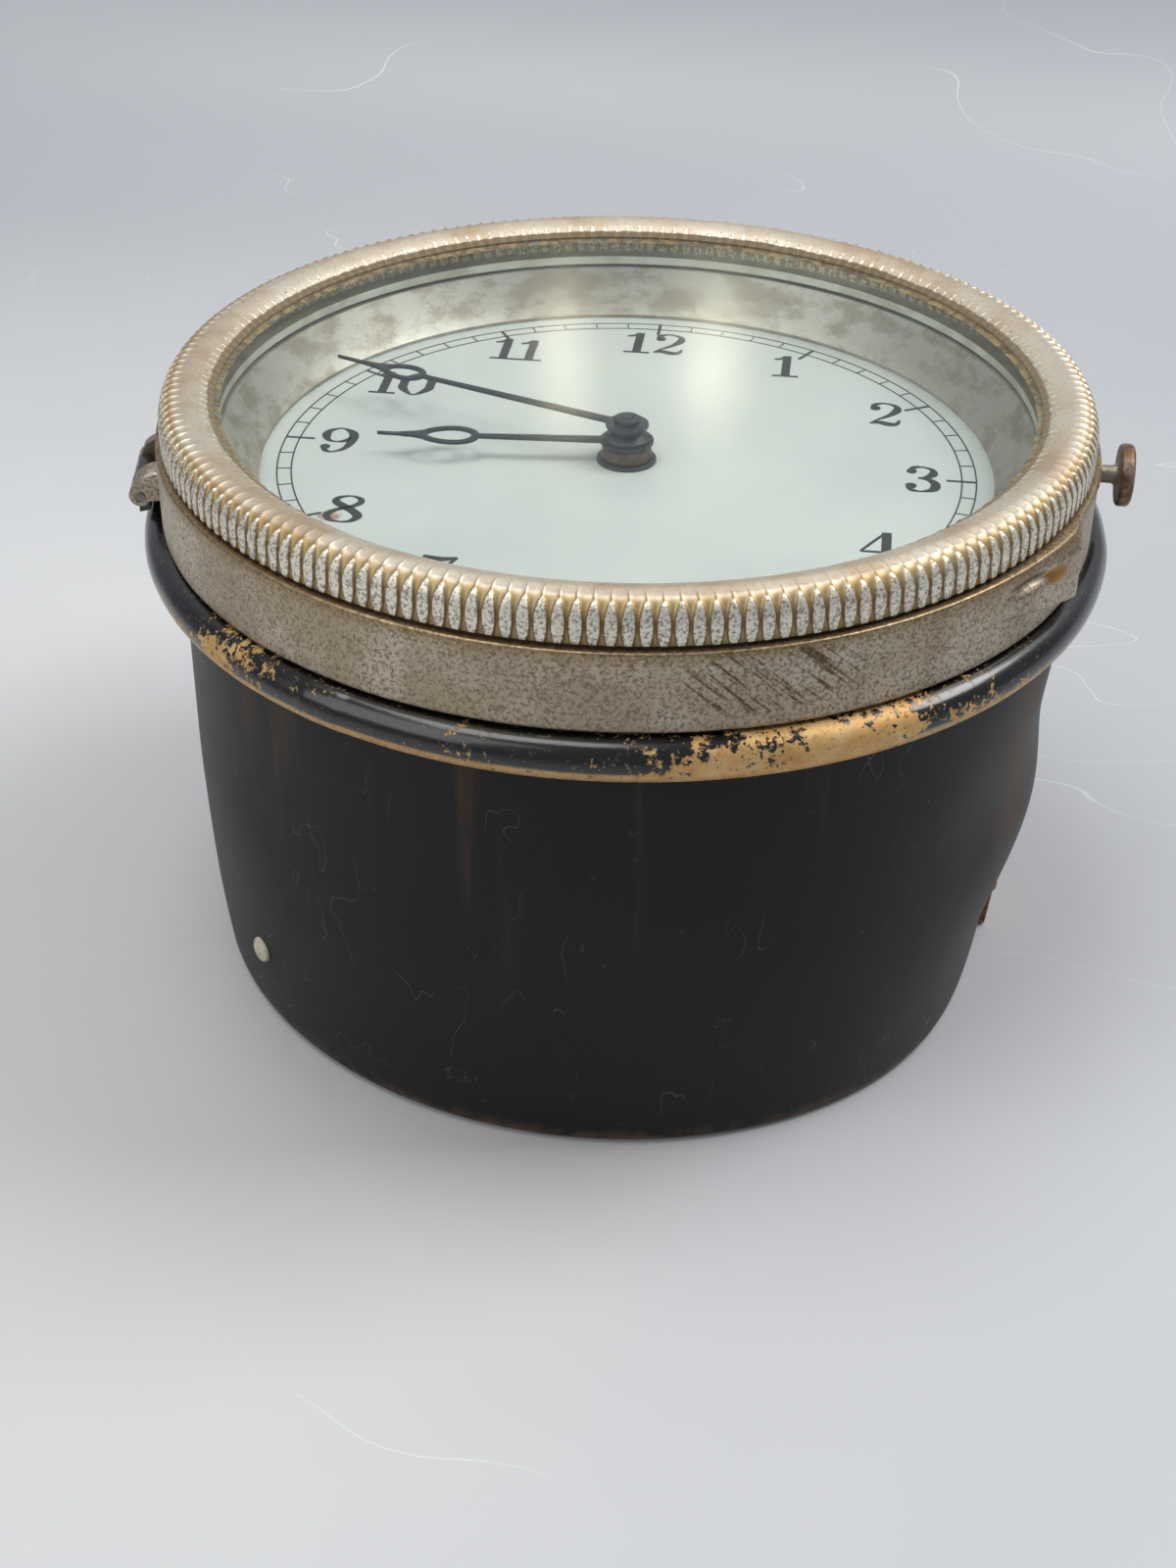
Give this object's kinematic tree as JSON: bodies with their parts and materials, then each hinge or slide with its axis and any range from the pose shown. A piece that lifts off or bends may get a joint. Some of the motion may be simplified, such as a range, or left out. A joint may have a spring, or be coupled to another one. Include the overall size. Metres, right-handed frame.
{
  "type": "rim-wound dashboard clock",
  "caption": "Small round eight-day clock, wound by turning its fluted bezel and hinged at 9 o'clock into a deep black cylindrical mounting can.",
  "frame": {"origin": "centre of the can's back face, on the clock's axis", "axes": "+Z along the clock's axis towards the glass, +Y to 12 o'clock, +X to 3 o'clock"},
  "size_m": [0.0907, 0.0882, 0.0566],
  "materials": {
    "black_enamel": "satin black stove enamel, worn at the edges",
    "bead_black": "gloss black, chipped to orange and brass",
    "nickel": "worn nickel plate",
    "band_nickel": "dull nickel plate with brown staining",
    "inner_tin": "dull silver",
    "dial_silver": "matt silvered dial",
    "blued_steel": "dark blued steel",
    "crystal": "clear glass",
    "brass": "fine-grained brass",
    "steel": "polished steel",
    "pin_brown": "brown tarnished brass",
    "lug_brown": "rusted steel",
    "rivet_pale": "pale rivet metal"
  },
  "bodies": {
    "can": {"mounting_can": "black_enamel", "rim_bead": "bead_black", "can_rivets": "rivet_pale", "fixing_lug": "lug_brown", "can_hinge_knuckle": "bead_black"},
    "clock": {"case_band": "band_nickel", "thumb_lip": "band_nickel", "band_hinge_leaf": "nickel", "hinge_pin": "steel", "movement_ring": "inner_tin", "dial_surround": "inner_tin", "dial": "dial_silver", "dial_feet": "brass", "dial_washer": "blued_steel", "front_plate": "brass", "plate_screws": "steel", "back_plate": "brass", "pillars": "brass", "pillar_screws": "steel", "dust_cover": "inner_tin", "cover_screws": "steel", "set_pin_bush": "brass", "winding_stud": "steel", "click_stud": "steel", "minute_wheel_stud": "steel"},
    "turning_bezel": {"bezel": "nickel", "glass": "crystal", "glass_ring": "inner_tin", "winding_ring": "inner_tin"},
    "set_pin": {"set_pin_stem": "pin_brown", "set_pin_knob": "pin_brown"},
    "winding_gear": {"winding_pinion": "brass"},
    "barrel_shaft": {"barrel_arbor": "steel", "ratchet_wheel": "steel"},
    "click": {"ratchet_click": "steel"},
    "barrel": {"barrel_drum": "brass", "barrel_lid": "brass", "mainspring": "steel"},
    "intermediate": {"intermediate_pinion": "steel", "intermediate_wheel": "brass"},
    "centre": {"centre_pinion": "steel", "centre_wheel": "brass"},
    "third": {"third_pinion": "steel", "third_wheel": "brass"},
    "fourth": {"fourth_pinion": "steel", "fourth_wheel": "brass"},
    "escape": {"escape_pinion": "steel", "escape_wheel": "brass"},
    "lever": {"pallet_lever": "steel"},
    "balance": {"balance_wheel": "brass", "balance_staff": "steel", "hairspring": "steel"},
    "minutes": {"cannon_pinion": "steel", "minute_hand": "blued_steel", "minute_collet": "blued_steel"},
    "reduction": {"minute_wheel": "brass", "minute_wheel_pinion": "steel"},
    "hours": {"hour_wheel": "brass", "hour_hand": "blued_steel"}
  },
  "joints": [
    {"name": "clock_swing", "type": "hinge", "parent": "can", "child": "clock", "pos_m": [-0.04328, -0.00763, 0.04695], "axis": [0.1736, -0.9848, 0], "range_deg": [0, 100]},
    {"name": "bezel_wind", "type": "hinge", "parent": "clock", "child": "turning_bezel", "pos_m": [0, 0, 0.05], "axis": [0, 0, 1], "continuous": true},
    {"name": "set_pin_pull", "type": "slide", "parent": "clock", "child": "set_pin", "axis": [1, 0, 0], "range_m": [0, 0.0015]},
    {"name": "winding_gear_turn", "type": "hinge", "parent": "clock", "child": "winding_gear", "pos_m": [0.01627, 0.02521, 0.0438], "axis": [0, 0, 1], "continuous": true},
    {"name": "barrel_shaft_turn", "type": "hinge", "parent": "clock", "child": "barrel_shaft", "pos_m": [0, 0.0175, 0.0438], "axis": [0, 0, 1], "continuous": true},
    {"name": "click_lift", "type": "hinge", "parent": "clock", "child": "click", "pos_m": [-0.01261, 0.00867, 0.0435], "axis": [0, 0, 1], "range_deg": [0, 12]},
    {"name": "fourth_turn", "type": "hinge", "parent": "clock", "child": "fourth", "pos_m": [0.00007, -0.01123, 0.03], "axis": [0, 0, 1], "continuous": true},
    {"name": "third_turn", "type": "hinge", "parent": "clock", "child": "third", "pos_m": [-0.00764, -0.00764, 0.03], "axis": [0, 0, 1], "continuous": true},
    {"name": "centre_turn", "type": "hinge", "parent": "clock", "child": "centre", "pos_m": [0, 0, 0.03], "axis": [0, 0, 1], "continuous": true},
    {"name": "intermediate_turn", "type": "hinge", "parent": "clock", "child": "intermediate", "pos_m": [0.01255, 0.00621, 0.03], "axis": [0, 0, 1], "continuous": true},
    {"name": "barrel_turn", "type": "hinge", "parent": "clock", "child": "barrel", "pos_m": [0, 0.0175, 0.03], "axis": [0, 0, 1], "continuous": true},
    {"name": "escape_turn", "type": "hinge", "parent": "clock", "child": "escape", "pos_m": [0.00787, -0.0126, 0.03], "axis": [0, 0, 1], "continuous": true},
    {"name": "lever_rock", "type": "hinge", "parent": "clock", "child": "lever", "pos_m": [0.00734, -0.01867, 0.03], "axis": [0, 0, 1], "range_deg": [-4, 4]},
    {"name": "balance_swing", "type": "hinge", "parent": "clock", "child": "balance", "pos_m": [0.00573, -0.02466, 0.03], "axis": [0, 0, 1], "range_deg": [-150, 150]},
    {"name": "minute_hand_turn", "type": "hinge", "parent": "clock", "child": "minutes", "pos_m": [0, 0, 0.05], "axis": [0, 0, 1], "continuous": true},
    {"name": "reduction_turn", "type": "hinge", "parent": "clock", "child": "reduction", "pos_m": [0.0036, -0.00624, 0.045], "axis": [0, 0, 1], "continuous": true},
    {"name": "hour_hand_turn", "type": "hinge", "parent": "clock", "child": "hours", "pos_m": [0, 0, 0.047], "axis": [0, 0, 1], "continuous": true}
  ],
  "couplings": [
    {"joint": "winding_gear_turn", "follows": "bezel_wind", "ratio": 6},
    {"joint": "barrel_shaft_turn", "follows": "bezel_wind", "ratio": -3},
    {"joint": "third_turn", "follows": "fourth_turn", "ratio": -0.13333},
    {"joint": "centre_turn", "follows": "fourth_turn", "ratio": 0.016667},
    {"joint": "intermediate_turn", "follows": "fourth_turn", "ratio": -0.0055556},
    {"joint": "barrel_turn", "follows": "fourth_turn", "ratio": 0.00069444},
    {"joint": "escape_turn", "follows": "fourth_turn", "ratio": -8},
    {"joint": "reduction_turn", "follows": "minute_hand_turn", "ratio": -0.33333},
    {"joint": "hour_hand_turn", "follows": "minute_hand_turn", "ratio": 0.083333}
  ]
}
